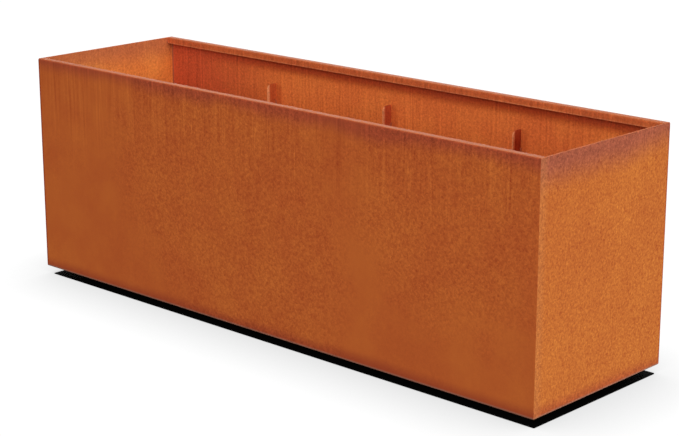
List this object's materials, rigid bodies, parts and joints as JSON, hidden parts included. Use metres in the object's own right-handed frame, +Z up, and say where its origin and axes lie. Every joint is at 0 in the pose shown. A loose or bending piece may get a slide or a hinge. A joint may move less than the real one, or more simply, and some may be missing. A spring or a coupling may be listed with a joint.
{
  "type": "planter box",
  "caption": "Long open rectangular trough planter in folded weathering steel, with an inward rim, inner wall ribs and cross ties, floor drains, and foot channels on a thin black ground mat.",
  "frame": {"origin": "on the ground, at the centre of the trough's footprint", "axes": "+X along the trough to its right-hand end, +Y to the back, +Z up; the front is -Y"},
  "size_m": [2.1336, 0.6096, 0.762],
  "materials": {
    "weathering_steel": "matt rust patina",
    "weld_metal": "matt rust patina",
    "zinc_plate": "dull zinc plate",
    "black_rubber": "matt"
  },
  "bodies": {
    "root": {"front_panel": "weathering_steel", "back_panel": "weathering_steel", "left_end_panel": "weathering_steel", "right_end_panel": "weathering_steel", "floor_panel": "weathering_steel", "front_rib_left": "weathering_steel", "front_rib_centre": "weathering_steel", "front_rib_right": "weathering_steel", "back_rib_left": "weathering_steel", "back_rib_centre": "weathering_steel", "back_rib_right": "weathering_steel", "tie_bar_left": "weathering_steel", "tie_bar_centre": "weathering_steel", "tie_bar_right": "weathering_steel", "foot_channel_left_end": "weathering_steel", "foot_channel_left": "weathering_steel", "foot_channel_centre": "weathering_steel", "foot_channel_right": "weathering_steel", "foot_channel_right_end": "weathering_steel", "tie_bolts": "zinc_plate", "tie_washers": "zinc_plate", "tie_nuts": "zinc_plate", "ground_mat": "black_rubber", "corner_welds": "weld_metal", "rim_end_welds": "weld_metal", "rib_welds": "weld_metal", "floor_welds": "weld_metal", "foot_welds": "weld_metal"}
  },
  "joints": []
}
